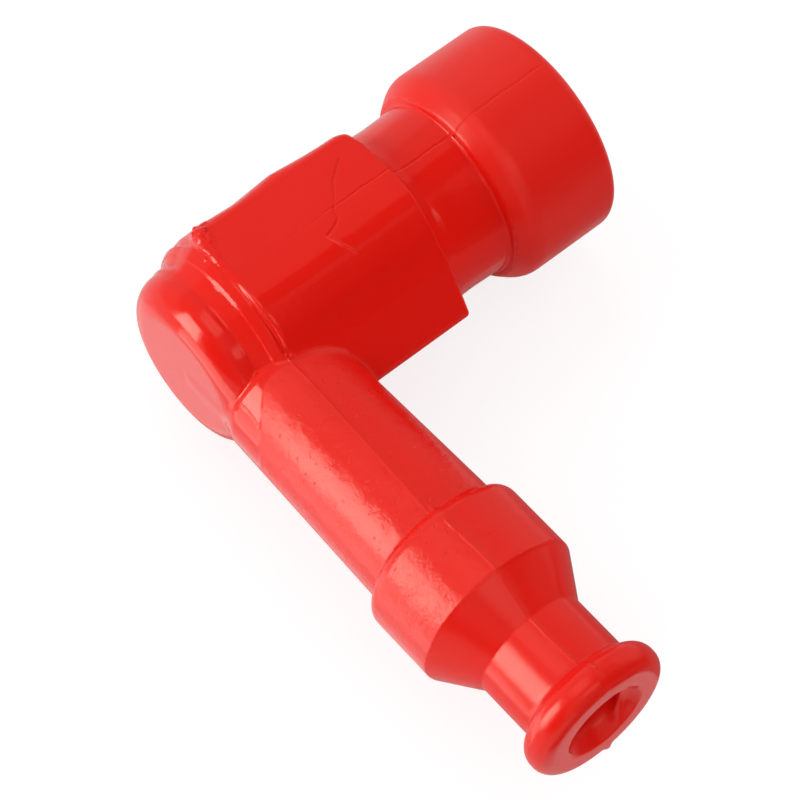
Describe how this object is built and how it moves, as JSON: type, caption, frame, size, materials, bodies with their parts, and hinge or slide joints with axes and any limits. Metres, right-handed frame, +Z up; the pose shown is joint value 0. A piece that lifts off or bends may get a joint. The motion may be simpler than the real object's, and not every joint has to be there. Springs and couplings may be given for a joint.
{
  "type": "spark plug cap",
  "caption": "Right-angle rubber spark plug cap with a six-sided grip, a round plug collar, a beaded lead arm and a brass contact train inside.",
  "frame": {"origin": "under the middle of the cap's box, on the surface that it lies on", "axes": "+X along the plug barrel towards the plug's mouth, -Y along the lead arm towards the lead's mouth, +Z up, square to both arms"},
  "size_m": [0.0554, 0.0748, 0.027],
  "materials": {
    "red_rubber": "glossy moulded rubber, soft sheen, parting lines left on",
    "turned_brass": "turned, bright",
    "spring_steel": "drawn wire, bright",
    "plated_caps": "plated pressed cup",
    "white_ceramic": "fired, matt"
  },
  "bodies": {
    "root": {"boot": "red_rubber", "terminal_socket": "turned_brass", "snap_ring": "spring_steel", "contact_block": "turned_brass", "contact_spring": "spring_steel", "resistor_cap_rear": "plated_caps", "resistor": "white_ceramic", "resistor_cap_front": "plated_caps", "lead_screw": "turned_brass"}
  },
  "joints": []
}
